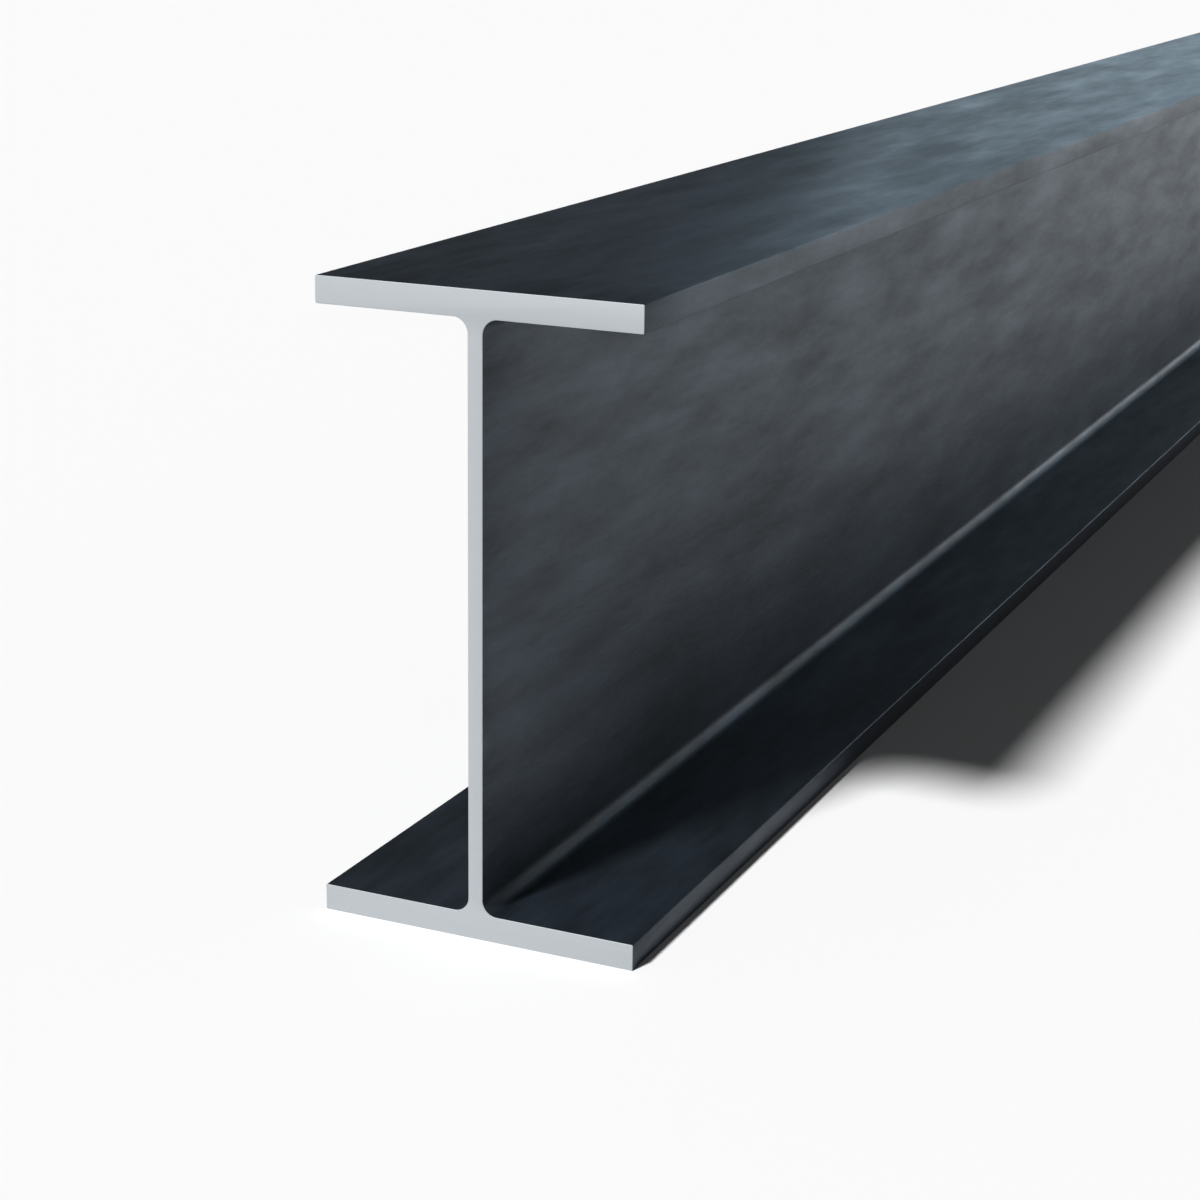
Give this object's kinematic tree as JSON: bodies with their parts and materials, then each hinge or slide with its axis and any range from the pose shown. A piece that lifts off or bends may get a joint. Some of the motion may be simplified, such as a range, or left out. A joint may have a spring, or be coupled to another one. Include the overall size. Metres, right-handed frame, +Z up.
{
  "type": "steel i-beam",
  "caption": "Straight hot-rolled steel I-beam with wide parallel flanges, a thin web, filleted roots and square sawn ends.",
  "frame": {"origin": "centre of the bottom face, under the middle of the beam", "axes": "+Z up along the web, +Y along the beam's length, +X across the flanges"},
  "size_m": [0.1666, 3.048, 0.3175],
  "materials": {
    "rolled_steel": "hot-rolled: dark blue-grey satin mill scale with soft clouds drawn out along the length; the sawn ends are bare, pale grey and matt"
  },
  "bodies": {
    "root": {"i_beam": "rolled_steel"}
  },
  "joints": []
}
